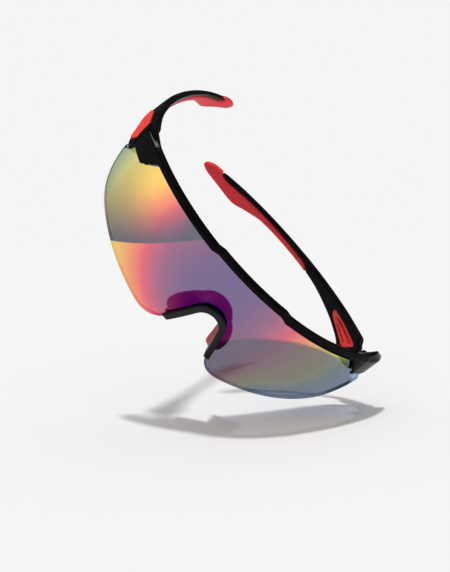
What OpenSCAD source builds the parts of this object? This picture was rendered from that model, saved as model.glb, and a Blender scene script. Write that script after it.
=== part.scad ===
// Wrap-around one-piece-lens sports glasses with folding temples.
// Front faces -Y, +Z is up, the temples run back along +Y.
// The origin is the top of the nose saddle.
// "Right" and "left" are the wearer's: right is -X, left is +X.

/* [Lens] */
// Outer radius of the spherical lens
lens_r = 87; // [86:0.5:88]
// Lens wall thickness
lens_t = 2; // [1.8:0.1:2.2]

/* [Brow bar] */
// Bar stand-off in front of the lens
bar_out = 2.2; // [2:0.1:2.4]
// Height of the bar's upright front face
bar_h = 2.3; // [2.1:0.1:2.5]
// Upward step of the centre section
jog = 1.2; // [1:0.1:1.4]
// Half width of the raised centre section
jog_x = 18.5; // [17.5:0.5:19.5]

/* [Nose] */
// Radius of the nose arch on its centre line
arch_r = 7.7; // [7.5:0.1:7.9]
// Angle each leg of the arch swings out by
arch_a = 71; // [70:1:72]
// Straight length of each leg
leg_l = 16.2; // [15.8:0.2:16.6]
// Width of the arch band
band_w = 2.9; // [2.7:0.1:3.1]
// Depth of the soft pad behind the lens
pad_d = 11; // [10:0.5:12]

/* [Temples] */
// Hinge axis distance from the middle plane
hinge_x = 67.9; // [67.8:0.1:68]
// Hinge axis distance behind the front plane
hinge_y = 47.5; // [47.3:0.1:47.7]
// How far the left temple is folded in at rest
fold_left = 54; // [0:1:54]
// Diameter of the hinge screw
screw_d = 1.4; // [1.3:0.1:1.5]
// Running clearance of the screw in the temple leaf, on radius
run_c = 0.05; // [0.03:0.01:0.07]

/* [Hidden] */
$fn = 64;
lens_cy = 90;          // lens sphere centre behind the front plane
lens_cz = -15;         // lens sphere centre height
seat_y = 12;           // nose saddle behind the front plane
seat_z = -22.9;        // nose saddle height
arch_z = -21.4;        // top of the arch centre line
knuckle_r = 2.6;
lug_hi = [-8.5, -7.0];
lug_lo = [-12.2, -10.5];
leaf_z = [-10.4, -8.6];

black = [0.06, 0.06, 0.07];
gloss = [0.03, 0.03, 0.035];
red = [0.88, 0.13, 0.15];
steel = [0.72, 0.73, 0.75];
violet = [0.45, 0.38, 0.62, 0.6];

// ---------- helpers ----------
module seat() translate([0, -seat_y, -seat_z]) children();
module right_side() seat() mirror([1, 0, 0]) children();
module left_side() seat() children();
module left_folded() seat() translate([hinge_x, hinge_y, 0]) rotate([0, 0, fold_left])
    translate([-hinge_x, -hinge_y, 0]) children();

// smooth interpolation through a table of [y, value]
function seg(t, y, i = 0) = i >= len(t) - 2 || y < t[i + 1][0] ? i : seg(t, y, i + 1);
function slope(t, i) = i == 0 ? (t[1][1] - t[0][1]) / (t[1][0] - t[0][0])
    : i == len(t) - 1 ? (t[i][1] - t[i - 1][1]) / (t[i][0] - t[i - 1][0])
    : (t[i + 1][1] - t[i - 1][1]) / (t[i + 1][0] - t[i - 1][0]);
function sm(t, y) = let(i = seg(t, y), h = t[i + 1][0] - t[i][0], s = (y - t[i][0]) / h)
    t[i][1] * (1 + 2 * s) * (1 - s) * (1 - s) + h * slope(t, i) * s * (1 - s) * (1 - s)
    + t[i + 1][1] * s * s * (3 - 2 * s) + h * slope(t, i + 1) * s * s * (s - 1);
// smooth closed outline through points, n steps a span
function cr(a, b, c, d, t) = 0.5 * (2 * b + (c - a) * t + (2 * a - 5 * b + 4 * c - d) * t * t
    + (3 * b - a - 3 * c + d) * t * t * t);
function smooth_open(p, n) = [for (i = [0:len(p) - 2], k = [0:n - 1])
    cr(p[max(i - 1, 0)], p[i], p[i + 1], p[min(i + 2, len(p) - 1)], k / n), p[len(p) - 1]];
function rev(p) = [for (i = [len(p) - 1:-1:0]) p[i]];
function flip_x(p) = [for (i = [len(p) - 1:-1:0]) [-p[i][0], p[i][1]]];

// solid between rings of points, all the same length; strip = caps of a thin bent section
module loft(rings, strip = false) {
    n = len(rings[0]);
    m = len(rings);
    e = (m - 1) * n;
    pts = [for (r = rings) each r];
    sides = [for (i = [0:m - 2], j = [0:n - 1], f = [0, 1]) let(k = (j + 1) % n)
        f == 0 ? [i * n + j, i * n + k, (i + 1) * n + j] : [i * n + k, (i + 1) * n + k, (i + 1) * n + j]];
    first = strip ? [for (j = [0:n / 2 - 2], f = [0, 1]) f == 0 ? [j, n - 2 - j, j + 1] : [j, n - 1 - j, n - 2 - j]]
        : [[for (j = [n - 1:-1:0]) j]];
    last = strip ? [for (j = [0:n / 2 - 2], f = [0, 1])
        f == 0 ? [e + j, e + j + 1, e + n - 2 - j] : [e + j, e + n - 2 - j, e + n - 1 - j]]
        : [[for (j = [0:n - 1]) e + j]];
    polyhedron(points = pts, faces = concat(first, sides, last), convexity = 6);
}

// ---------- lens ----------
// arch centre line at the notch: [x, z] from the top down one side, offset e outwards
function arch_half(e, extra = 0) = concat(
    [for (a = [0:arch_a / 8:arch_a + 0.01]) [(arch_r + e) * sin(a), arch_z - arch_r + (arch_r + e) * cos(a)]],
    [for (t = [leg_l / 3, 2 * leg_l / 3, leg_l + extra]) [(arch_r + e) * sin(arch_a) + t * cos(arch_a),
        arch_z - arch_r + (arch_r + e) * cos(arch_a) - t * sin(arch_a)]]);
lens_low = smooth_open([[13.0, -44.2], [14.6, -46.6], [17.2, -49.0], [20.6, -50.4], [24.4, -50.5], [30.5, -49.3],
    [38, -47.5], [45.5, -45.3], [52, -42.9], [58, -40.1], [63, -37.0], [67, -33.0], [69.8, -27.8],
    [71.7, -22.0], [72.5, -18.0]], 3);
lens_top = [[72.7, -16.4], [72.2, -15.2], [71.2, -14.6], [69.5, -8.5], [66.5, -5.2], [62.5, -2.6], [58, -1.9],
    [24, -1.9], [20, -0.9], [0, -0.9]];
lens_half = concat(arch_half(0), lens_low, lens_top);

module lens_shape() intersection() {
    translate([0, lens_cy, lens_cz]) difference() {
        sphere(r = lens_r, $fn = 128);
        sphere(r = lens_r - lens_t, $fn = 128);
    }
    rotate([90, 0, 0]) translate([0, 0, -46]) linear_extrude(60)
        polygon(concat(lens_half, flip_x(lens_half)));
}

module shield_lens() color(violet) seat() lens_shape();

// ---------- frame ----------
bar_r = lens_r + bar_out - 1;      // front radius of the bar about the upright axis
bar_sec = [[82.8, -3.2], [82.8, -1.6], [83.2, -1.2], [86.0, 0.6], [86.6, 0.7], [bar_r, -1.0],
    [bar_r - 0.1, -1.0 - bar_h + 0.3], [bar_r - 0.5, -1.0 - bar_h], [85.4, -1.0 - bar_h]];
ctr_sec = [for (p = bar_sec) [p[0], p[1] + (p[1] > -1.7 ? 0.9 : jog)]];
function ang(x, r) = asin(x / r);
a_ctr = ang(jog_x, 88);
a_side = ang(jog_x + 3.4, 88);
a_end = ang(65.5, 88);

module sweep_sec(sec, a0, a1) translate([0, lens_cy, 0]) rotate([0, 0, -90 + a0])
    rotate_extrude(angle = a1 - a0, $fn = 180) polygon(sec);
function sec_ring(sec, a) = [for (p = sec) [p[0] * sin(a), lens_cy - p[0] * cos(a), p[1]]];

// ring of the ramp between the side (t = 0) and the raised centre (t = 1), a hair inside both
function jog_ring(t) = sec_ring([for (i = [0:8]) [bar_sec[i][0] + (bar_sec[i][0] > 85 ? -0.02 : 0.02),
    bar_sec[i][1] * (1 - t) + ctr_sec[i][1] * t]], a_side * (1 - t) + a_ctr * t);

// end block: lip in front of the lens corner and wall behind it
block_sec = [[82.9, -12.4], [82.9, -1.6], [83.2, -1.2], [86.0, 0.6], [86.6, 0.7], [bar_r, -1.0],
    [bar_r + 0.1, -11.6], [bar_r - 0.5, -12.4]];
block_face = [[59.6, -2.2], [59.9, -3.6], [61.2, -5.6], [64.2, -10.0], [65.0, -10.7], [66.2, -11.0], [69.3, -11.3],
    [70.6, -12.0], [72.8, -12.0], [72.8, 2], [59.6, 2]];
// rings of the horn that leads back to the hinge, ten points each, outer lower corner first
// its root is sunk a hair into the end block
horn_sec = [[bar_r + 0.05, -10.6], [bar_r - 0.5, -11.35], [83.5, -11.35], [83.05, -10.9], [83.05, -1.7],
    [83.3, -1.25], [86, 0.55], [86.55, 0.62], [bar_r - 0.25, -0.85], [bar_r - 0.05, -1.1]];
function horn_ring(x, y, turn, w, zt, zo, zb) = [for (p = [[0, zb + 0.8], [-0.8, zb], [-w + 0.5, zb], [-w, zb + 0.5],
    [-w, zt - 2.4], [-w + 0.4, zt - 1.8], [-3.9, zt - 0.1], [-3.3, zt], [-0.3, zo + 0.2], [0, zo]])
    [x + p[0] * cos(turn), y + p[0] * sin(turn), p[1]]];
horn_ctrl = [sec_ring(horn_sec, a_end - 4), sec_ring(horn_sec, a_end - 0.5),
    horn_ring(70.9, 39.0, -28, 6.0, 0.3, -1.5, -11.6), horn_ring(72.5, 46.0, -8, 6.3, -0.9, -2.2, -10.4),
    horn_ring(72.4, 50.5, 0, 6.3, -1.9, -3.0, -9.6)];
module horn() loft(rev([for (i = [1:3], k = [0:5], last = i == 3 && k == 5 ? [0, 1] : [0]) let(t = (k + last) / 6)
    [for (j = [0:9]) cr(horn_ctrl[i - 1][j], horn_ctrl[i][j], horn_ctrl[i + 1][j], horn_ctrl[min(i + 2, 4)][j], t)]]));
// everything behind the slanted seam between horn and temple, moved back by g
module seam(g) translate([72.6, 48.2 + g, -2]) rotate([0, 0, 49]) rotate([-16, 0, 0])
    translate([-14, 0, -16]) cube([28, 14, 30]);
// everything in front of it, down to the bottom of the horn
module ahead(g) translate([72.6, 48.2 + g, -2]) rotate([0, 0, 49]) rotate([-16, 0, 0])
    translate([-14, -14, -10.5]) cube([28, 14, 30]);
module lug(z) translate([0, 0, z[0]]) linear_extrude(z[1] - z[0]) union() {
    translate([hinge_x, hinge_y]) circle(r = knuckle_r);
    polygon([[65.35, 47.2], [64.9, 41.6], [66.6, 38.6], [70.6, 41], [70.5, 47.5]]);
}
module lug_root() translate([0, 0, lug_lo[0]]) linear_extrude(lug_hi[1] - lug_lo[0])
    polygon([[65.0, 43.6], [64.9, 41.6], [66.6, 38.6], [70.6, 41], [70.5, 43.6]]);

module frame_side() difference() {
    union() {
        sweep_sec(bar_sec, a_side, a_end);
        loft([for (t = [-0.15, 1.15]) jog_ring(t)]);
        intersection() {
            sweep_sec(block_sec, ang(58.5, 88), a_end + 0.01);
            rotate([90, 0, 0]) translate([0, 0, -60]) linear_extrude(60) polygon(block_face);
        }
        difference() {
            horn();
            seam(0);
        }
        lug(lug_hi);
        lug(lug_lo);
        lug_root();
    }
    // gap for the temple leaf and its swing
    translate([hinge_x, hinge_y, leaf_z[0] - 0.1]) cylinder(r = 3.1, h = leaf_z[1] - leaf_z[0] + 0.2);
    // screw way, threaded in the lower lug
    translate([hinge_x, hinge_y, lug_lo[0] - 0.5]) cylinder(d = screw_d, h = 4);
    translate([hinge_x, hinge_y, lug_hi[0] - 0.5]) cylinder(r = screw_d / 2 + run_c, h = 6);
    translate([hinge_x, hinge_y, lug_hi[1] - 0.8]) cylinder(r = 1.4, h = 3);
}

module brow_frame() color(gloss) seat() difference() {
    union() {
        sweep_sec(ctr_sec, -a_ctr, a_ctr);
        frame_side();
        mirror([1, 0, 0]) frame_side();
    }
    lens_shape();
}

// ---------- nose ----------
module nose_clip() color(gloss) seat() difference() {
    intersection() {
        translate([0, lens_cy, lens_cz]) difference() {
            sphere(r = lens_r + 2.2, $fn = 128);
            sphere(r = lens_r - lens_t - 1.6, $fn = 128);
        }
        rotate([90, 0, 0]) translate([0, 0, -30]) linear_extrude(40) difference() {
            polygon(concat(arch_half(band_w / 2, 0.6), flip_x(arch_half(band_w / 2, 0.6))));
            polygon(concat(arch_half(-band_w / 2, 0.9), flip_x(arch_half(-band_w / 2, 0.9))));
        }
    }
    lens_shape();
}

// soft saddle pad: rows of U curves going back from the clip
// [depth, arch radius, top z, leg angle, leg length, half thickness out, extra out on the legs, half thickness in]
pad_rows = [[0, 7.7, -21.4, 71, 15.8, 1.1, 0.4, 1.2], [1.8, 7.7, -21.4, 71, 16.4, 2.0, 2.2, 1.3],
    [3.7, 7.7, -21.2, 72, 17.2, 2.4, 3.0, 1.5], [6.2, 7.7, -21.0, 74, 18, 2.1, 2.5, 1.8],
    [8.6, 7.7, -21.0, 76, 18.6, 1.4, 1.4, 1.9], [pad_d - 0.5, 7.8, -21.0, 76.5, 18.2, 0.5, 0.3, 1.2]];
// stations along the U, closer where the legs end round
pad_ks = [-14, -13.8, -13.4, each [-13:13], 13.4, 13.8, 14];
function pad_cap(k) = k <= 13 ? 1 : sqrt(1 - 0.94 * pow(k - 13, 2));
function pad_swell(k) = pow(sin(min(170, max(0, (k - 7.4) * 27))), 0.6);
function u_pt(q, e, a, t) = [(q[1] + e) * sin(a) + t * cos(q[3]), q[2] - q[1] + (q[1] + e) * cos(a) - t * sin(q[3])];
function u_curve(q, e, g) = [for (i = pad_ks) let(k = abs(i), s = i < 0 ? -1 : 1,
    b = (e + g * pad_swell(k)) * pad_cap(k),
    p = k <= 8 ? u_pt(q, b, q[3] * k / 8, 0) : u_pt(q, b, q[3], q[4] * (k - 8) / 6)) [s * p[0], p[1]]];
function lens_back(x, z) = lens_cy - sqrt(pow(lens_r - lens_t - 1.65, 2) - x * x - pow(z - lens_cz, 2));
function pad_ring(q) = let(o = u_curve(q, q[5], q[6]), n = u_curve(q, -q[7], 0)) concat(
    [for (p = o) [p[0], lens_back(p[0], p[1]) + q[0], p[1]]],
    [for (i = [len(n) - 1:-1:0]) let(p = n[i]) [p[0], lens_back(p[0], p[1]) + q[0], p[1]]]);
pad_steps = 4;
function pad_row(i, t) = [for (k = [0:7]) cr(pad_rows[max(i - 1, 0)][k], pad_rows[i][k], pad_rows[i + 1][k],
    pad_rows[min(i + 2, len(pad_rows) - 1)][k], t)];
module nose_pad() color(red) seat() loft([for (i = [0:len(pad_rows) - 2], k = [0:pad_steps - 1])
    pad_ring(pad_row(i, k / pad_steps)), pad_ring(pad_rows[len(pad_rows) - 1])], true);

// ---------- temple ----------
// each table is [distance back, value] for the open left temple, smoothed between its points
// outer face, distance from the middle plane: widest a third of the way back, then in round the ear
t_x = [[46, 67.5], [58, 69.9], [73, 71], [95, 68.9], [115, 64], [135, 56], [148, 47.8], [160, 37.6]];
// top edge: a step up behind the hinge, then a steady fall
t_top = [[46, -8], [50, -7.7], [52, -7.2], [53.4, -5.4], [54.4, -4.9], [60, -5.3], [100, -8.4], [145, -13],
    [154, -14.5], [160, -16.5]];
// bottom edge: deep at the window, slim in the middle, deep again at the ear
t_low = [[46, -17.2], [49, -19.2], [54, -20.2], [57.5, -20], [61, -17.9], [66, -16.6], [76, -14.6], [88, -13],
    [100, -13], [125, -15.5], [133, -18.2], [139, -20.7], [143, -20.8], [160, -17.9]];
// seam between the arm and the ear sock
t_mid = [[96, -12.4], [98, -11.2], [101, -10.8], [125, -12.5], [143, -14.8], [147.5, -15.2], [150.6, -14.3]];
// thickness, and how far the bottom edge leans out
t_th = [[46, 3.9], [60, 3.8], [90, 3.6], [120, 3.1], [140, 2.8], [160, 2.6]];
t_lean = [[46, 2.6], [60, 2.2], [74, 1.7], [84, 1.0], [96, 0.4], [110, 0], [160, 0]];

function back(y) = (sm(t_x, y + 0.5) - sm(t_x, y - 0.5));
function put(y, u, z) = let(s = back(y), l = sqrt(1 + s * s), zt = sm(t_top, y),
    sh = sm(t_lean, y) * (max(zt, -5) - z) / (max(zt, -5) - sm(t_low, y)))
    [sm(t_x, y) + sh - u / l, y + s * u / l, z];
function box_ring(y, u0, u1, z1, z0, c) = [put(y, u0, z1 - c), put(y, u0 + 0.3 * c, z1 - 0.3 * c), put(y, u0 + c, z1),
    put(y, u1 - c, z1), put(y, u1 - 0.3 * c, z1 - 0.3 * c), put(y, u1, z1 - c), put(y, u1, z0 + c),
    put(y, u1 - 0.3 * c, z0 + 0.3 * c), put(y, u1 - c, z0), put(y, u0 + c, z0),
    put(y, u0 + 0.3 * c, z0 + 0.3 * c), put(y, u0, z0 + c)];
function arm_low(y) = y < 96 ? sm(t_low, y) : sm(t_mid, y);
arm_ys = concat([47.4, 49, 50.5, 51.5, 52.3, 53, 53.6, 54.5], [for (y = [56:2:94]) y], [95.9, 97],
    [for (y = [98.5:2.2:147]) y], [147.6, 149.2, 150.2]);
module arm_body() loft([for (y = arm_ys) let(c = y > 149.8 ? 0.2 : y > 140 ? 0.6 : 0.9, top = sm(t_top, y))
    box_ring(y, 0, sm(t_th, y), top - (y > 149.8 ? 0.3 : 0), arm_low(y), min(c, (top - arm_low(y)) / 2.4))]);

// outside panel of the insert and the window that opens to the inside
panel = [[52.8, -9.6], [55, -8.9], [66, -9.0], [73, -9.6], [78.6, -12.3], [72.5, -14.2], [66, -15.4], [61.5, -16.8],
    [57.8, -18.9], [56.2, -18.3], [52.7, -13.0]];
window = [[53.6, -10.4], [54.4, -9.5], [60, -9.3], [66, -9.4], [72.6, -9.9], [74.0, -10.8], [72.8, -12.7], [71.0, -13.7],
    [64, -15.3], [59, -16.3], [56.8, -16.0]];
module from_side(p) translate([50, 0, 0]) rotate([90, 0, 90]) linear_extrude(30) polygon(p);
module skin(u0, u1) loft([for (y = [50:2:82]) box_ring(y, u0, u1, sm(t_top, y), sm(t_low, y), 0.05)]);
module panel_body() intersection() { skin(-0.5, 1.1); from_side(panel); }
recess = [[55.4, -11.4], [56.0, -10.6], [66, -10.6], [70.6, -11.3], [70.2, -12.4], [64.4, -14.0], [58.6, -15.0]];
rib = [[55.0, -12.6], [71.5, -11.5], [71.5, -12.2], [56.4, -14.2]];
module plug_body() difference() {
    intersection() { skin(0.6, 3.3); from_side(window); }
    intersection() {
        skin(1.7, 4.5);
        difference() { from_side(recess); from_side(rib); }
    }
}

module leaf_plate() {
    translate([hinge_x - 1.1, hinge_y, leaf_z[0] + 0.1]) cube([2.0, 5.4, 1.6]);
    translate([hinge_x - 0.6, hinge_y + 3.6, -9.2]) cube([1.5, 9.4, 1.4]);
}
module temple_arm() difference() {
    arm_body();
    from_side(window);
    panel_body();
    leaf_plate();
    translate([hinge_x, hinge_y, lug_lo[0] - 0.2]) cylinder(r = knuckle_r + 0.5, h = 14);
    // heel cleared in front of the shoulder on the inner side
    translate([60, 40, lug_lo[0] - 0.2]) cube([hinge_x + 1.2 - 60, 10.8, 14]);
    ahead(0.25);
}
module window_insert() difference() {
    union() { panel_body(); plug_body(); }
    leaf_plate();
}
sock_ys = concat([96.6], [for (y = [98.5:2:120]) y], [for (y = [121.5:1.5:149]) y],
    [150.3, 150.6, 151.5, 152.7, 154, 155.2, 156.2, 157, 157.5]);
function tip_in(y) = 1 - sqrt(max(0, 1 - pow(max(y - 153.4, 0) / 4.15, 2)));
function sock_top(y) = y < 150.4 ? sm(t_mid, y) - 0.04 : -13.5 - 0.08 * (y - 151) - 2.6 * tip_in(y);
function sock_low(y) = sm(t_low, y) + 1.5 * tip_in(y);
function sock_u(y) = 0.25 + 0.25 * min(1, (y - 96) / 30);
module sock_body() loft([for (y = sock_ys) let(h = sock_top(y) - sock_low(y), e = 1.3 * tip_in(y))
    box_ring(y, -sock_u(y) + e, sm(t_th, y) + sock_u(y) - e, sock_top(y), sock_low(y), min(1.0, h / 2.6))]);

module right_temple_arm() color(gloss) right_side() temple_arm();
module left_temple_arm() color(gloss) left_folded() temple_arm();
module right_window_insert() color(red) right_side() window_insert();
module left_window_insert() color(red) left_folded() window_insert();
module right_ear_sock() color(red) right_side() sock_body();
module left_ear_sock() color(red) left_folded() sock_body();

// ---------- hinge ----------
module hinge_leaf() difference() {
    union() {
        translate([hinge_x, hinge_y, leaf_z[0]]) cylinder(r = knuckle_r, h = leaf_z[1] - leaf_z[0]);
        leaf_plate();
    }
    translate([hinge_x, hinge_y, leaf_z[0] - 1]) cylinder(r = screw_d / 2 + run_c, h = 5);
}
module hinge_screw() difference() {
    union() {
        translate([hinge_x, hinge_y, lug_lo[0] + 0.2]) cylinder(d = screw_d, h = lug_hi[1] - 0.8 - lug_lo[0]);
        translate([hinge_x, hinge_y, lug_hi[1] - 0.75]) cylinder(r = 1.3, h = 0.75);
    }
    translate([hinge_x - 2, hinge_y - 0.2, lug_hi[1] - 0.35]) cube([4, 0.4, 1]);
}
module right_hinge_leaf() color(black) right_side() hinge_leaf();
module left_hinge_leaf() color(black) left_folded() hinge_leaf();
module right_hinge_screw() color(steel) right_side() hinge_screw();
module left_hinge_screw() color(steel) left_side() hinge_screw();

shield_lens();
brow_frame();
nose_clip();
nose_pad();
right_temple_arm();
left_temple_arm();
right_window_insert();
left_window_insert();
right_ear_sock();
left_ear_sock();
right_hinge_leaf();
left_hinge_leaf();
right_hinge_screw();
left_hinge_screw();
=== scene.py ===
"""Visual model of a one-piece mirror-shield pair of sport sunglasses.

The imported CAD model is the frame: every piece below is made from a CAD node
or from the lens's own driving sizes, and rides on a CAD body.
Lengths are in millimetres in the lens's and the coating's sizes and where a
name ends in _MM or _mm, and in metres everywhere else.
"""
import math

import bpy
import numpy as np
from mathutils import Matrix, Vector
from mathutils.geometry import delaunay_2d_cdt


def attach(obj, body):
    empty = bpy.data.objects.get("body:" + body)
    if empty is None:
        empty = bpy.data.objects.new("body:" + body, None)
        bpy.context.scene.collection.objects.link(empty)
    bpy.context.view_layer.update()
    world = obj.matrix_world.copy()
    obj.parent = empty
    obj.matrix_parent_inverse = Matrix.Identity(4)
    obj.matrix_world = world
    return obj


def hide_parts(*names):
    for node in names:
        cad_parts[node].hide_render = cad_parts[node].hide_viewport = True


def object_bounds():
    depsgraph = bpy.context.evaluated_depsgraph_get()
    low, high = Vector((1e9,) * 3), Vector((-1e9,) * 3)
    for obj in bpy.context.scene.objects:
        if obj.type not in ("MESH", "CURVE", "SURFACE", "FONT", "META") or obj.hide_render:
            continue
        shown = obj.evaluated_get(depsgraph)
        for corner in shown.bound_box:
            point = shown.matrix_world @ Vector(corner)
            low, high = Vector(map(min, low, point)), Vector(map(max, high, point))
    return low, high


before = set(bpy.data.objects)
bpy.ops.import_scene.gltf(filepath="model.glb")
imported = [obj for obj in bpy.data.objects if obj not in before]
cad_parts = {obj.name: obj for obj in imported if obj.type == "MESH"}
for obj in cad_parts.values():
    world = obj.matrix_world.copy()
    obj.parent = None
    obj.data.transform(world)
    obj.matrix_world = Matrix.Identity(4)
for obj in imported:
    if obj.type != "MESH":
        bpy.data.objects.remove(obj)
cad_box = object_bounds()
scene = bpy.context.scene
scene.view_settings.view_transform = "Standard"
MM = 0.001

# ---------------------------------------------------------------- sizes
# The lens is drawn in its own frame, whose origin is the top centre of the
# brow line. The nose saddle, the CAD origin, is SEAT away from it.
SEAT = Vector((0.0, -12.0, 22.9))
LENS_RADIUS = 87.0
LENS_CENTRE = Vector((0.0, 90.0, -15.0))
LENS_WALL = 2.0
NOTCH_TOP = -21.4
NOTCH_RADIUS = 7.7
NOTCH_TURN = 71.0
NOTCH_LEG = 16.2
LENS_LOW = [
    (13, -44.2), (14.6, -46.6), (17.2, -49), (20.6, -50.4), (24.4, -50.5),
    (30.5, -49.3), (38, -47.5), (45.5, -45.3), (52, -42.9), (58, -40.1),
    (63, -37), (67, -33), (69.8, -27.8), (71.7, -22), (72.5, -18),
]
LENS_TOP = [
    (72.7, -16.4), (72.2, -15.2), (71.2, -14.6), (69.5, -8.5), (66.5, -5.2),
    (62.5, -2.6), (58, -1.9), (24, -1.9), (20, -0.9),
]
# How many pieces each stretch of the outline has: the round top of the nose
# notch, its straight leg, and each span between two lower points.
NOTCH_STEPS = 12
LEG_STEPS = 12
LOW_STEPS = 6
OUTLINE_ROUNDS = 2
# The mesh: the spacing along the edge and over the faces, the spacing of its
# rows as a share of that, and how far the faces' points stay from the edge.
RIM_STEP = 0.6
FACE_STEP = 1.3
ROW_SHARE = 0.87
CLEAR_SHARE = 0.62
SAME_POINT = 1e-6
# The lens's edge from front to back: how far in, and how deep.
RIM_PROFILE = [(0.30, 0.0), (0.09, 0.09), (0.0, 0.3), (0.0, 1.7), (0.09, 1.91), (0.30, 2.0)]
# How much the edge's normals lean to the faces, on its rounded and on its flat part.
ROUND_LEAN = 0.75
FLAT_LEAN = 0.15
FRONT, BACK, RIM = 0, 1, 2


# ---------------------------------------------------------------- mesh tools
def catmull(points, steps):
    """A smooth line through the points, `steps` pieces to each span."""
    out = []
    last = len(points) - 1
    for i in range(last):
        p0 = np.array(points[max(i - 1, 0)], float)
        p1 = np.array(points[i], float)
        p2 = np.array(points[i + 1], float)
        p3 = np.array(points[min(i + 2, last)], float)
        for k in range(steps):
            t = k / steps
            out.append(
                0.5 * (2 * p1 + (p2 - p0) * t + (2 * p0 - 5 * p1 + 4 * p2 - p3) * t * t
                       + (3 * p1 - p0 - 3 * p2 + p3) * t ** 3)
            )
    out.append(np.array(points[-1], float))
    return out


def resample(loop, step):
    """The closed loop again, with evenly spaced points."""
    closed = np.vstack([loop, loop[:1]])
    length = np.concatenate([[0], np.cumsum(np.linalg.norm(np.diff(closed, axis=0), axis=1))])
    count = int(round(length[-1] / step))
    where = np.linspace(0, length[-1], count, endpoint=False)
    return np.c_[np.interp(where, length, closed[:, 0]), np.interp(where, length, closed[:, 1])]


def soften(loop, rounds):
    """The closed loop with its corners rounded."""
    for _ in range(rounds):
        loop = 0.5 * loop + 0.25 * (np.roll(loop, 1, 0) + np.roll(loop, -1, 0))
    return loop


def inward(loop):
    """The unit vector into the loop at each of its points. The loop turns anticlockwise."""
    along = np.roll(loop, -1, 0) - np.roll(loop, 1, 0)
    along /= np.linalg.norm(along, axis=1)[:, None]
    return np.c_[-along[:, 1], along[:, 0]]


def lens_outline():
    """The lens seen from the front, in mm: x and z, anticlockwise from the notch."""
    turn = [math.radians(NOTCH_TURN * k / NOTCH_STEPS) for k in range(NOTCH_STEPS + 1)]
    half = [
        (NOTCH_RADIUS * math.sin(a), NOTCH_TOP - NOTCH_RADIUS + NOTCH_RADIUS * math.cos(a))
        for a in turn
    ]
    end = half[-1]
    a = turn[-1]
    leg = np.linspace(1, NOTCH_LEG, LEG_STEPS)
    half += [(end[0] + t * math.cos(a), end[1] - t * math.sin(a)) for t in leg]
    half += [tuple(p) for p in catmull([half[-1]] + LENS_LOW, LOW_STEPS)[1:]]
    half += LENS_TOP
    left = [(-x, z) for x, z in reversed(half[1:])]
    loop = np.array(half + [(0.0, LENS_TOP[-1][1])] + left, float)
    return soften(resample(loop, RIM_STEP), OUTLINE_ROUNDS)


def on_lens(x, z, depth):
    """A point of the shell: `depth` mm behind its outer face."""
    radius = LENS_RADIUS - depth
    back = math.sqrt(radius ** 2 - x ** 2 - (z - LENS_CENTRE.z) ** 2)
    return Vector((x, LENS_CENTRE.y - back, z)) + SEAT


def face_points(loop):
    """Points inside the loop on a staggered grid, clear of its edge."""
    lo, hi = loop.min(0), loop.max(0)
    rows = np.arange(lo[1], hi[1], FACE_STEP * ROW_SHARE)
    grid = [
        (x + (FACE_STEP / 2 if k % 2 else 0), z)
        for k, z in enumerate(rows)
        for x in np.arange(lo[0], hi[0], FACE_STEP)
    ]
    grid = np.array(grid)
    a, b = loop, np.roll(loop, -1, 0)
    inside = np.zeros(len(grid), bool)
    nearest = np.full(len(grid), 1e9)
    for p, q in zip(a, b):
        crosses = (p[1] > grid[:, 1]) != (q[1] > grid[:, 1])
        if p[1] != q[1]:
            at = p[0] + (grid[:, 1] - p[1]) * (q[0] - p[0]) / (q[1] - p[1])
            inside ^= crosses & (grid[:, 0] < at)
        nearest = np.minimum(nearest, np.linalg.norm(grid - p, axis=1))
    return grid[inside & (nearest > FACE_STEP * CLEAR_SHARE)]


def build_lens():
    """The shield: a spherical shell with a rounded edge all round."""
    loop = lens_outline()
    inner = inward(loop)
    count = len(loop)
    edge = loop + inner * RIM_PROFILE[0][0]
    flat = np.vstack([edge, face_points(edge)])
    flat_vectors = [Vector(p) for p in flat]
    border = [(k, (k + 1) % count) for k in range(count)]
    made = delaunay_2d_cdt(flat_vectors, border, [], 1, SAME_POINT)
    plan = np.array([tuple(v) for v in made[0]])
    origin = [src[0] for src in made[3]]
    triangles = [tuple(f) for f in made[2]]

    verts = []
    normals = []
    centre = LENS_CENTRE + SEAT
    for depth, sign in ((0.0, 1.0), (LENS_WALL, -1.0)):
        for x, z in plan:
            p = on_lens(x, z, depth)
            verts.append(p * MM)
            normals.append((p - centre).normalized() * sign)
    total = len(plan)
    ring_of = {}
    for k, src in enumerate(origin):
        if src < count:
            ring_of[src] = k
    rings = [[ring_of[k] for k in range(count)]]
    for inset, depth in RIM_PROFILE[1:-1]:
        ring = []
        lean = 1 - 2 * depth / LENS_WALL
        for k in range(count):
            x, z = loop[k] + inner[k] * inset
            p = on_lens(x, z, depth)
            out = Vector((-inner[k][0], 0, -inner[k][1]))
            share = ROUND_LEAN if inset else FLAT_LEAN
            face = (p - centre).normalized() * lean * share
            ring.append(len(verts))
            verts.append(p * MM)
            normals.append((out + face).normalized())
        rings.append(ring)
    rings.append([ring_of[k] + total for k in range(count)])

    faces = list(triangles)
    slots = [FRONT] * len(triangles)
    faces += [tuple(k + total for k in reversed(tri)) for tri in triangles]
    slots += [BACK] * len(triangles)
    for front, back in zip(rings, rings[1:]):
        for k in range(count):
            n = (k + 1) % count
            faces.append((front[k], back[k], back[n], front[n]))
            slots.append(RIM)
    mesh = bpy.data.meshes.new("shield")
    mesh.from_pydata([tuple(v) for v in verts], [], faces)
    mesh.polygons.foreach_set("material_index", slots)
    mesh.polygons.foreach_set("use_smooth", [True] * len(faces))
    mesh.update()
    mesh.normals_split_custom_set_from_vertices([tuple(n) for n in normals])
    return mesh


WELD_MM = 0.002
SMOOTH_FACTOR = 0.5


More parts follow.
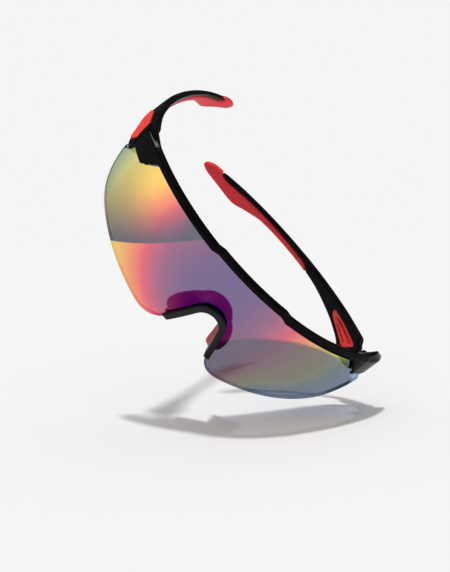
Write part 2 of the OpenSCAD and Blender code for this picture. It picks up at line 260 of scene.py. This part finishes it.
def moulded_copy(node, name, voxel_mm, rounds):
    """A CAD node's solid again, with its edges rounded as a mould leaves them."""
    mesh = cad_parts[node].data.copy()
    mesh.materials.clear()
    source = bpy.data.objects.new(name + "_source", mesh)
    scene.collection.objects.link(source)
    weld = source.modifiers.new("weld", "WELD")
    weld.merge_threshold = WELD_MM * MM
    remesh = source.modifiers.new("remesh", "REMESH")
    remesh.mode = "VOXEL"
    remesh.voxel_size = voxel_mm * MM
    smooth = source.modifiers.new("smooth", "SMOOTH")
    smooth.factor = SMOOTH_FACTOR
    smooth.iterations = rounds
    graph = bpy.context.evaluated_depsgraph_get()
    made = bpy.data.meshes.new_from_object(source.evaluated_get(graph))
    bpy.data.objects.remove(source)
    made.name = name
    made.materials.clear()
    made.polygons.foreach_set("use_smooth", [True] * len(made.polygons))
    return made


def piece(mesh, name, node, body, slot, *materials):
    """Shows the mesh in place of a CAD node, on that node's body."""
    obj = bpy.data.objects.new(name, mesh)
    scene.collection.objects.link(obj)
    for finish in materials:
        mesh.materials.append(finish)
    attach(obj, body)
    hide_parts(node)
    return obj


# ---------------------------------------------------------------- node tools
class Nodes:
    """A short way to write a node tree."""

    def __init__(self, tree):
        self.tree = tree
        self.tree.nodes.clear()

    def add(self, kind, **settings):
        node = self.tree.nodes.new(kind)
        for key, value in settings.items():
            setattr(node, key, value)
        return node

    def link(self, source, target):
        self.tree.links.new(source, target)

    def math(self, operation, a, b=None, clamp=False):
        node = self.add("ShaderNodeMath", operation=operation, use_clamp=clamp)
        for socket, value in zip(node.inputs, (a, b)):
            if value is None:
                continue
            if isinstance(value, (int, float)):
                socket.default_value = value
            else:
                self.link(value, socket)
        return node.outputs[0]

    def noise(self, scale, detail=2.0, roughness=0.5, vector=None):
        node = self.add("ShaderNodeTexNoise")
        node.inputs["Scale"].default_value = scale
        node.inputs["Detail"].default_value = detail
        node.inputs["Roughness"].default_value = roughness
        self.link(vector or self.place(), node.inputs["Vector"])
        return node.outputs["Fac"]

    def place(self):
        return self.add("ShaderNodeTexCoord").outputs["Object"]

    def surface(self, shader):
        out = self.add("ShaderNodeOutputMaterial")
        self.link(shader, out.inputs["Surface"])

    def bump(self, height, strength, depth_mm, shader):
        node = self.add("ShaderNodeBump")
        node.inputs["Strength"].default_value = strength
        node.inputs["Distance"].default_value = depth_mm * MM
        self.link(height, node.inputs["Height"])
        self.link(node.outputs["Normal"], shader.inputs["Normal"])

    def blend(self, share, first, second):
        """The first shader where share is 0, the second where it is 1."""
        node = self.add("ShaderNodeMixShader")
        self.link(share, node.inputs["Fac"])
        self.link(first, node.inputs[1])
        self.link(second, node.inputs[2])
        return node.outputs[0]

    def ramp(self, value, stops, interpolation="LINEAR"):
        node = self.add("ShaderNodeValToRGB")
        node.color_ramp.interpolation = interpolation
        elements = node.color_ramp.elements
        while len(elements) < len(stops):
            elements.new(1.0)
        for element, (at, colour) in zip(elements, stops):
            element.position = at
        for element, (at, colour) in zip(elements, stops):
            element.color = colour if len(colour) == 4 else (*colour, 1.0)
        self.link(value, node.inputs["Fac"])
        return node.outputs["Color"]

    def range(self, value, low, high, to_low, to_high, smooth=False):
        node = self.add("ShaderNodeMapRange", clamp=True)
        if smooth:
            node.interpolation_type = "SMOOTHSTEP"
        for socket, number in zip(node.inputs[1:5], (low, high, to_low, to_high)):
            socket.default_value = number
        self.link(value, node.inputs[0])
        return node.outputs[0]


def material(name):
    made = bpy.data.materials.new(name)
    made.use_nodes = True
    return made, Nodes(made.node_tree)


# The sizes of the marks on moulded plastic and rubber: clouds in the colour,
# and patches where handling has changed the gloss. Light goes SCATTER_MM deep
# into soft rubber, red deepest.
CLOUD_MM = 9
HANDLING_MM = 2.4
GRAIN_STRENGTH = 0.6
SCATTER_RADIUS = (1.0, 0.25, 0.15)
SCATTER_MM = 0.6


def moulded(name, colour, shade, rough, grain_mm, depth_mm, gloss, soft=0.0):
    """Moulded plastic or rubber: two close tones, a fine grain and uneven gloss."""
    made, n = material(name)
    shader = n.add("ShaderNodeBsdfPrincipled")
    n.surface(shader.outputs[0])
    cloud = n.noise(1 / (CLOUD_MM * MM), 3.0, 0.6)
    tones = n.ramp(cloud, [(0.35, shade), (0.65, colour)])
    n.link(tones, shader.inputs["Base Color"])
    handling = n.noise(1 / (HANDLING_MM * MM), 5.0, 0.65)
    n.link(n.range(handling, 0.35, 0.75, rough * 0.85, rough * 1.25), shader.inputs["Roughness"])
    grain = n.noise(1 / (grain_mm * MM), 2.0, 0.5)
    n.bump(grain, GRAIN_STRENGTH, depth_mm, shader)
    shader.inputs["Specular IOR Level"].default_value = gloss
    if soft:
        shader.inputs["Subsurface Weight"].default_value = soft
        shader.inputs["Subsurface Radius"].default_value = SCATTER_RADIUS
        shader.inputs["Subsurface Scale"].default_value = SCATTER_MM * MM
    return made


LINE_MM = 0.5
LINE_STRETCH = (1.0, 1.0, 14.0)
LINE_DEPTH_MM = 0.01
LINE_STRENGTH = 0.4
LINE_DARK = 0.72


def brushed_steel(name, tone, rough):
    """Turned or stamped steel with fine lines."""
    made, n = material(name)
    shader = n.add("ShaderNodeBsdfPrincipled")
    n.surface(shader.outputs[0])
    shader.inputs["Metallic"].default_value = 1.0
    stretch = n.add("ShaderNodeMapping")
    stretch.inputs["Scale"].default_value = LINE_STRETCH
    n.link(n.place(), stretch.inputs["Vector"])
    lines = n.noise(1 / (LINE_MM * MM), 4.0, 0.7, stretch.outputs[0])
    dark = tuple(LINE_DARK * c for c in tone)
    n.link(n.ramp(lines, [(0.3, dark), (0.7, tone)]), shader.inputs["Base Color"])
    n.link(n.range(lines, 0.3, 0.7, rough * 0.8, rough * 1.3), shader.inputs["Roughness"])
    n.bump(lines, LINE_STRENGTH, LINE_DEPTH_MM, shader)
    return made


# ---------------------------------------------------------------- lens finish
# The mirror coating changes thickness from the middle outwards, so its colour
# runs from violet over red and amber to green and blue. The first number is
# the distance from the middle of the violet band, in mm.
COATING = [
    (0, (0.06, 0.0, 0.14)), (17, (0.09, 0.0, 0.12)), (22, (0.13, 0.0, 0.12)),
    (29.5, (0.24, 0.02, 0.11)), (34, (0.37, 0.02, 0.10)), (39, (0.63, 0.03, 0.07)),
    (42.5, (0.83, 0.03, 0.04)), (45.5, (0.97, 0.14, 0.02)), (49.5, (1.0, 0.28, 0.0)),
    (54.5, (1.0, 0.50, 0.0)), (61.5, (1.0, 0.67, 0.0)), (64.5, (1.0, 0.77, 0.02)),
    (67, (0.96, 0.88, 0.14)), (70.5, (0.55, 0.72, 0.20)), (75, (0.20, 0.48, 0.34)),
    (80, (0.08, 0.34, 0.47)),
]
# How much of the light the coating stops, at the same distances.
OPACITY = [(0, 0.77), (42, 0.78), (67, 0.79), (80, 0.70)]
COATING_END = 82.0
# The middle of the violet band, and what is added to every distance across it.
BAND_X, BAND_Z = -7.0, -13.0
BAND_HALF = 7.0
# How much a step up or down counts against a step across. On the wearer's right
# it is BAND_STEEP. On the left it is BAND_STEEP_LEFT below the band's middle, and
# nothing above it. SIDE values are where each sets in and where it is whole, in
# mm across from the band's middle.
BAND_STEEP = 1.14
RIGHT_SIDE = (12.0, -8.0)
BAND_STEEP_LEFT = 1.8
LEFT_SIDE = (20.0, 50.0)
DRIFT_SIZE_MM = 30
DRIFT_MM = 2.0
# The edge's finish changes between these heights, in mm from the CAD origin. Over the second pair the
# edge's colour is darkened upwards: a painted dark reflection of the dim studio above.
LOW_EDGE = (SEAT.z + BAND_Z + 2.0, SEAT.z + BAND_Z - 4.0)
EDGE_PAINTED_DARK_HEIGHTS = (-8.0, -12.0)
# How upright a surface's normal is where the surface starts to count as level,
# and where it counts in full.
LEVEL = (0.35, 0.7)
TINT = (0.76, 0.80, 1.0)
BEHIND_DULL = (0.16, 0.22, 0.24, 1.0)
EDGE_GAIN = 0.28
EDGE_OPACITY = [(0, 0.90), (80, 0.97)]
EDGE_BELOW = 0.30
# The share of the edge's colour kept over the upper heights: painted dark reflection.
EDGE_PAINTED_DARK_SHARE = 0.12


def coating_distance(n):
    """Distance from the violet band, as a share of COATING_END."""
    split = n.add("ShaderNodeSeparateXYZ")
    n.link(n.place(), split.inputs[0])
    x = n.math("SUBTRACT", n.math("MULTIPLY", split.outputs["X"], 1 / MM), BAND_X)
    z = n.math("SUBTRACT", n.math("MULTIPLY", split.outputs["Z"], 1 / MM), SEAT.z + BAND_Z)
    out = n.math("ADD", n.math("ABSOLUTE", x), BAND_HALF)
    on_right = n.math("MULTIPLY", z, n.range(x, *RIGHT_SIDE, 0.0, BAND_STEEP, smooth=True))
    below = n.math("MINIMUM", z, 0.0)
    on_left = n.math("MULTIPLY", below, n.range(x, *LEFT_SIDE, 0.0, BAND_STEEP_LEFT, smooth=True))
    rise = n.math("ADD", on_right, on_left)
    square = n.math("ADD", n.math("MULTIPLY", out, out), n.math("MULTIPLY", rise, rise))
    cloud = n.noise(1 / (DRIFT_SIZE_MM * MM), 1.0)
    drift = n.math("MULTIPLY", n.math("SUBTRACT", cloud, 0.5), DRIFT_MM)
    return n.math("DIVIDE", n.math("ADD", n.math("SQRT", square), drift), COATING_END)


def lens_mirror(name, gain, opacity, below=1.0, above=1.0):
    """The mirror coating over tinted polycarbonate, dulled on faces seen from behind.

    Under LOW_EDGE, level stretches keep the share `below` of their opacity.
    Over EDGE_PAINTED_DARK_HEIGHTS, the colour is `above` times as light: a painted dark reflection of
    the dim studio above.
    """
    made, n = material(name)
    at = coating_distance(n)
    behind = n.add("ShaderNodeNewGeometry").outputs["Backfacing"]
    colours = [(s / COATING_END, tuple(gain * c for c in rgb)) for s, rgb in COATING]
    dulled = n.add("ShaderNodeMix", data_type="RGBA", blend_type="MULTIPLY")
    n.link(behind, dulled.inputs[0])
    n.link(n.ramp(at, colours, "CARDINAL"), dulled.inputs[6])
    dulled.inputs[7].default_value = BEHIND_DULL
    spot = n.add("ShaderNodeSeparateXYZ")
    n.link(n.place(), spot.inputs[0])
    light = n.add("ShaderNodeVectorMath", operation="SCALE")
    n.link(dulled.outputs[2], light.inputs[0])
    # Over the upper heights the colour is scaled down: a painted dark reflection of the dim studio, used
    # on the edge only.
    high, whole = (height * MM for height in EDGE_PAINTED_DARK_HEIGHTS)
    n.link(n.range(spot.outputs["Z"], high, whole, above, 1.0, smooth=True), light.inputs["Scale"])
    shader = n.add("ShaderNodeBsdfPrincipled")
    shader.inputs["Metallic"].default_value = 1.0
    n.link(light.outputs[0], shader.inputs["Base Color"])
    smear = n.noise(1 / (6 * MM), 5.0, 0.7)
    n.link(n.range(smear, 0.4, 0.8, 0.015, 0.05), shader.inputs["Roughness"])
    tinted = n.add("ShaderNodeBsdfTransparent")
    tinted.inputs["Color"].default_value = (*TINT, 1.0)
    stopped = n.ramp(at, [(s / COATING_END, (v,) * 3) for s, v in opacity])
    facing = n.add("ShaderNodeSeparateXYZ")
    n.link(n.add("ShaderNodeNewGeometry").outputs["True Normal"], facing.inputs[0])
    level = n.range(n.math("ABSOLUTE", facing.outputs["Z"]), *LEVEL, 0.0, 1.0, smooth=True)
    start, end = (height * MM for height in LOW_EDGE)
    low = n.range(spot.outputs["Z"], start, end, 0.0, 1.0 - below, smooth=True)
    kept = n.math("SUBTRACT", 1.0, n.math("MULTIPLY", level, low))
    share = n.math("MULTIPLY", stopped, kept)
    n.surface(n.blend(share, tinted.outputs[0], shader.outputs[0]))
    return made


def lens_inner(name):
    """The inner face: uncoated, clear, with a light gloss that grows as it turns away."""
    made, n = material(name)
    shader = n.add("ShaderNodeBsdfPrincipled")
    dust = n.noise(1 / (4 * MM), 5.0, 0.7)
    tones = n.ramp(dust, [(0.4, (0.30, 0.27, 0.36)), (0.7, (0.36, 0.33, 0.42))])
    n.link(tones, shader.inputs["Base Color"])
    n.link(n.range(dust, 0.4, 0.8, 0.03, 0.10), shader.inputs["Roughness"])
    clear = n.add("ShaderNodeBsdfTransparent")
    clear.inputs["Color"].default_value = (0.99, 0.98, 1.0, 1.0)
    turned = n.add("ShaderNodeLayerWeight")
    turned.inputs["Blend"].default_value = 0.25
    share = n.range(turned.outputs["Facing"], 0.0, 1.0, 0.03, 0.35)
    n.surface(n.blend(share, clear.outputs[0], shader.outputs[0]))
    return made


# ---------------------------------------------------------------- pieces
front_coat = lens_mirror("mirror_coating", 1.0, OPACITY)
# The edge's colour is darkened towards the top as a painted dark reflection.
rim_coat = lens_mirror("lens_edge", EDGE_GAIN, EDGE_OPACITY, EDGE_BELOW, EDGE_PAINTED_DARK_SHARE)
inner_face = lens_inner("lens_inner_face")
piece(
    build_lens(), "shield", "shield_lens", "frame", "mirror_lens",
    front_coat, inner_face, rim_coat,
)

gloss_black = moulded(
    "gloss_black", (0.005, 0.0045, 0.0045), (0.003, 0.003, 0.003),
    rough=0.16, grain_mm=0.20, depth_mm=0.001, gloss=0.045,
)
satin_black = moulded(
    "satin_black", (0.007, 0.006, 0.0075), (0.004, 0.0035, 0.0045),
    rough=0.24, grain_mm=0.20, depth_mm=0.0015, gloss=0.07,
)
charcoal = moulded(
    "charcoal", (0.010, 0.010, 0.012), (0.007, 0.007, 0.008),
    rough=0.42, grain_mm=0.22, depth_mm=0.003, gloss=0.22,
)
red_gloss = moulded(
    "red_gloss", (1.0, 0.075, 0.060), (0.93, 0.060, 0.048),
    rough=0.30, grain_mm=0.20, depth_mm=0.0015, gloss=0.30,
)
red_rubber = moulded(
    "red_rubber", (0.80, 0.040, 0.055), (0.72, 0.034, 0.046),
    rough=0.50, grain_mm=0.22, depth_mm=0.003, gloss=0.25, soft=0.1,
)
pad_rubber = moulded(
    "pad_rubber", (0.44, 0.022, 0.034), (0.38, 0.018, 0.028),
    rough=0.48, grain_mm=0.22, depth_mm=0.003, gloss=0.25, soft=0.15,
)

# CAD node, piece, finish slot, finish, and the voxel size in mm and the rounds
# of smoothing of its copy.
for node, name, slot, finish, voxel, rounds in (
    ("brow_frame", "brow", "gloss_frame", gloss_black, 0.27, 10),
    ("nose_clip", "clip", "satin_clip", charcoal, 0.18, 30),
    ("nose_pad", "pad", "soft_pad", pad_rubber, 0.20, 14),
):
    piece(moulded_copy(node, name, voxel, rounds), name, node, "frame", slot, finish)
for side in ("right", "left"):
    body = side + "_temple"
    for kind, slot, name, finish, voxel, rounds in (
        ("temple_arm", "gloss_arm", "arm", satin_black, 0.22, 8),
        ("window_insert", "red_insert", "insert", red_gloss, 0.18, 3),
        ("ear_sock", "soft_sock", "sock", red_rubber, 0.20, 12),
    ):
        node = side + "_" + kind
        mesh = moulded_copy(node, side + "_" + name, voxel, rounds)
        piece(mesh, side + "_" + name, node, body, slot, finish)

BEVEL_MM = 0.08
leaf_steel = brushed_steel("leaf_steel", (0.20, 0.20, 0.21), 0.35)
screw_steel = brushed_steel("screw_steel", (0.55, 0.54, 0.52), 0.28)
for side in ("right", "left"):
    for part, steel in (("_hinge_leaf", leaf_steel), ("_hinge_screw", screw_steel)):
        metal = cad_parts[side + part]
        metal.data.materials.clear()
        metal.data.materials.append(steel)
        bevel = metal.modifiers.new("edge", "BEVEL")
        bevel.width = BEVEL_MM * MM
        bevel.segments = 2
        bevel.limit_method = "ANGLE"

# ---------------------------------------------------------------- camera
# The camera's place, and its azimuth, elevation and roll in degrees. They were
# found by fitting a view to points of the photo.
CAMERA_PLACE = (-0.152648, -0.621721, 0.333761)
CAMERA_TURN = (13.35, 26.956, -50.985)
CAMERA_LENS = 108.33
CAMERA_SENSOR = 36.0
camera_data = bpy.data.cameras.new("camera")
camera_data.lens = CAMERA_LENS
camera_data.sensor_width = CAMERA_SENSOR
camera = bpy.data.objects.new("camera", camera_data)
scene.collection.objects.link(camera)
azimuth, elevation, roll = (math.radians(angle) for angle in CAMERA_TURN)
forward = Vector((
    math.sin(azimuth) * math.cos(elevation), math.cos(azimuth) * math.cos(elevation),
    -math.sin(elevation),
))
level = Vector((math.cos(azimuth), -math.sin(azimuth), 0.0))
under = forward.cross(level)
right = level * math.cos(roll) + under * math.sin(roll)
down = under * math.cos(roll) - level * math.sin(roll)
turn = Matrix((right, -down, -forward)).transposed().to_4x4()
camera.matrix_world = Matrix.Translation(CAMERA_PLACE) @ turn
camera_data.clip_start = 0.01
camera_data.clip_end = 100.0
scene.camera = camera

# ---------------------------------------------------------------- stage
# The backdrop's value, how far the floor's normal leans from the picture's
# upright, and how far the floor is below the object's lowest point.
PALE = 0.913
TILT = math.radians(10.06)
HOVER = 3.93 * MM
# The floor's left edge and its reach to the other sides, in m from the origin.
FLOOR_LEFT = -0.447
FLOOR_REACH = 6.0
FLOOR_FADE = (0.16, 0.42)
PAPER_DARK = (0.795, 0.795, 0.795)
PAPER_LIGHT = (0.805, 0.805, 0.805)
up = (-down * math.cos(TILT) - forward * math.sin(TILT)).normalized()
ahead = (forward - up * forward.dot(up)).normalized()
across = ahead.cross(up).normalized()
lowest = min(
    up.dot(Vector(v.co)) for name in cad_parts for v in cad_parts[name].data.vertices
)
floor_level = lowest - HOVER
low_corner, high_corner = cad_box
middle = (low_corner + high_corner) / 2


def on_floor(right_of, ahead_of):
    """A point of the floor, measured from the CAD origin."""
    return across * right_of + ahead * ahead_of + up * floor_level


def floor_finish():
    """Pale paper, which fades to an even backdrop away from the object. It shows from above only."""
    made, n = material("pale_floor")
    made.cycles.emission_sampling = "NONE"
    paper = n.add("ShaderNodeBsdfPrincipled")
    speck = n.noise(1 / (1.5 * MM), 3.0, 0.6)
    n.link(n.ramp(speck, [(0.3, PAPER_DARK), (0.7, PAPER_LIGHT)]), paper.inputs["Base Color"])
    paper.inputs["Roughness"].default_value = 0.9
    paper.inputs["Specular IOR Level"].default_value = 0.0
    even = n.add("ShaderNodeEmission")
    even.inputs["Color"].default_value = (PALE, PALE, PALE, 1.0)
    away = n.add("ShaderNodeVectorMath", operation="DISTANCE")
    n.link(n.place(), away.inputs[0])
    away.inputs[1].default_value = on_floor(middle.dot(across), middle.dot(ahead))
    far = n.range(away.outputs["Value"], *FLOOR_FADE, 0.0, 1.0, smooth=True)
    top = n.blend(far, paper.outputs[0], even.outputs[0])
    clear = n.add("ShaderNodeBsdfTransparent")
    behind = n.add("ShaderNodeNewGeometry").outputs["Backfacing"]
    n.surface(n.blend(behind, top, clear.outputs[0]))
    return made


corners = [
    on_floor(FLOOR_LEFT, -FLOOR_REACH), on_floor(FLOOR_REACH, -FLOOR_REACH),
    on_floor(FLOOR_REACH, FLOOR_REACH), on_floor(FLOOR_LEFT, FLOOR_REACH),
]
floor_mesh = bpy.data.meshes.new("floor")
floor_mesh.from_pydata([tuple(c) for c in corners], [], [(0, 1, 2, 3)])
floor_mesh.materials.append(floor_finish())
floor = bpy.data.objects.new("floor", floor_mesh)
scene.collection.objects.link(floor)

# What the lens mirrors of the floor right below it is the darkest part of its
# shade: a low card that only reflections see.
SHADE_PLACE = (17.5 * MM, 27 * MM)
SHADE_REACH = (52 * MM, 52 * MM)
SHADE_LIFT = 0.4 * MM
SHADE_LIGHT = (0.115, 0.135, 0.16, 1.0)
SHADE_FADE = (0.90, 0.98)


def shade_finish():
    """An even dim light on a round patch, clear outside it."""
    made, n = material("shade_card")
    made.cycles.emission_sampling = "NONE"
    dark = n.add("ShaderNodeEmission")
    dark.inputs["Color"].default_value = SHADE_LIGHT
    clear = n.add("ShaderNodeBsdfTransparent")
    out_from_middle = n.add("ShaderNodeVectorMath", operation="LENGTH")
    n.link(n.place(), out_from_middle.inputs[0])
    past = n.range(out_from_middle.outputs["Value"], *SHADE_FADE, 0.0, 1.0, smooth=True)
    n.surface(n.blend(past, dark.outputs[0], clear.outputs[0]))
    return made


shade_mesh = bpy.data.meshes.new("shade_card")
shade_mesh.from_pydata([(-1, -1, 0), (1, -1, 0), (1, 1, 0), (-1, 1, 0)], [], [(0, 1, 2, 3)])
shade_mesh.materials.append(shade_finish())
shade = bpy.data.objects.new("shade_card", shade_mesh)
axes = Matrix((across * SHADE_REACH[0], ahead * SHADE_REACH[1], up)).transposed().to_4x4()
shade.matrix_world = Matrix.Translation(on_floor(*SHADE_PLACE) + up * SHADE_LIFT) @ axes
scene.collection.objects.link(shade)
shade.visible_camera = False
shade.visible_diffuse = False
shade.visible_transmission = False
shade.visible_shadow = False

# ---------------------------------------------------------------- light
KEY_SIDE = math.radians(-47)
KEY_HEIGHT = math.radians(84.5)
KEY_ENERGY = 1.78
KEY_WIDTH = math.radians(4.5)
# What the gloss reflects is two glows, less GLOW_CUT of their sum and never
# below GLOW_FLOOR, and a box round the key. A glow's side and height are its aim
# in degrees. The glows' values come from a fit to what the lens mirrors in the
# photo.
NEAR_SIDE, NEAR_HEIGHT = -61.4, 18.9
NEAR_STRENGTH, NEAR_NARROW = 1.44, 12.0
WIDE_SIDE, WIDE_HEIGHT = -106, 22
WIDE_STRENGTH, WIDE_NARROW = 0.83, 6.1
GLOW_CUT = 0.32
GLOW_FLOOR = 0.05
# The box's half widths in degrees, where it ends and where it is full.
BOX_END, BOX_FULL = 13, 8
BOX_STRENGTH = 28.0
AMBIENT = 0.59
to_key = (
    (across * math.sin(KEY_SIDE) + ahead * math.cos(KEY_SIDE)) * math.cos(KEY_HEIGHT)
    + up * math.sin(KEY_HEIGHT)
)
key_data = bpy.data.lights.new("key", "SUN")
key_data.energy = KEY_ENERGY
key_data.angle = KEY_WIDTH
key = bpy.data.objects.new("key", key_data)
key.rotation_mode = "QUATERNION"
key.rotation_quaternion = to_key.to_track_quat("Z", "Y")
scene.collection.objects.link(key)
key.visible_glossy = False


def studio(world):
    """Pale behind the object, and a dim studio with a soft light in what the gloss reflects."""
    world.use_nodes = True
    n = Nodes(world.node_tree)
    out = n.add("ShaderNodeOutputWorld")
    path = n.add("ShaderNodeLightPath")
    direction = n.add("ShaderNodeTexCoord").outputs["Generated"]

    def toward(vector):
        node = n.add("ShaderNodeVectorMath", operation="DOT_PRODUCT")
        n.link(direction, node.inputs[0])
        node.inputs[1].default_value = vector
        return node.outputs["Value"]

    def lobe(vector, wide, narrow, strength):
        return n.range(
            toward(vector.normalized()), math.cos(math.radians(wide)), math.cos(math.radians(narrow)),
            0.0, strength, smooth=True,
        )

    def aim(side, height):
        a, b = math.radians(side), math.radians(height)
        return (across * math.sin(a) - ahead * math.cos(a)) * math.cos(b) + up * math.sin(b)

    def glow(vector, strength, narrow):
        falloff = n.math("EXPONENT", n.math("MULTIPLY", n.math("SUBTRACT", toward(vector), 1.0), narrow))
        return n.math("MULTIPLY", falloff, strength)

    near = glow(aim(NEAR_SIDE, NEAR_HEIGHT), NEAR_STRENGTH, NEAR_NARROW)
    wide = glow(aim(WIDE_SIDE, WIDE_HEIGHT), WIDE_STRENGTH, WIDE_NARROW)
    dim = n.math("MAXIMUM", n.math("SUBTRACT", n.math("ADD", near, wide), GLOW_CUT), GLOW_FLOOR)
    mirror = n.math("ADD", dim, lobe(to_key, BOX_END, BOX_FULL, BOX_STRENGTH))
    seen = n.add("ShaderNodeMix", data_type="FLOAT")
    n.link(path.outputs["Is Glossy Ray"], seen.inputs[0])
    seen.inputs[2].default_value = AMBIENT
    n.link(mirror, seen.inputs[3])
    shown = n.add("ShaderNodeMix", data_type="FLOAT")
    n.link(path.outputs["Is Camera Ray"], shown.inputs[0])
    n.link(seen.outputs[0], shown.inputs[2])
    shown.inputs[3].default_value = PALE
    light = n.add("ShaderNodeBackground")
    light.inputs["Color"].default_value = (1.0, 1.0, 1.0, 1.0)
    n.link(shown.outputs[0], light.inputs["Strength"])
    n.link(light.outputs[0], out.inputs["Surface"])


world = bpy.data.worlds.new("studio")
scene.world = world
world.cycles.sampling_method = "NONE"
studio(world)
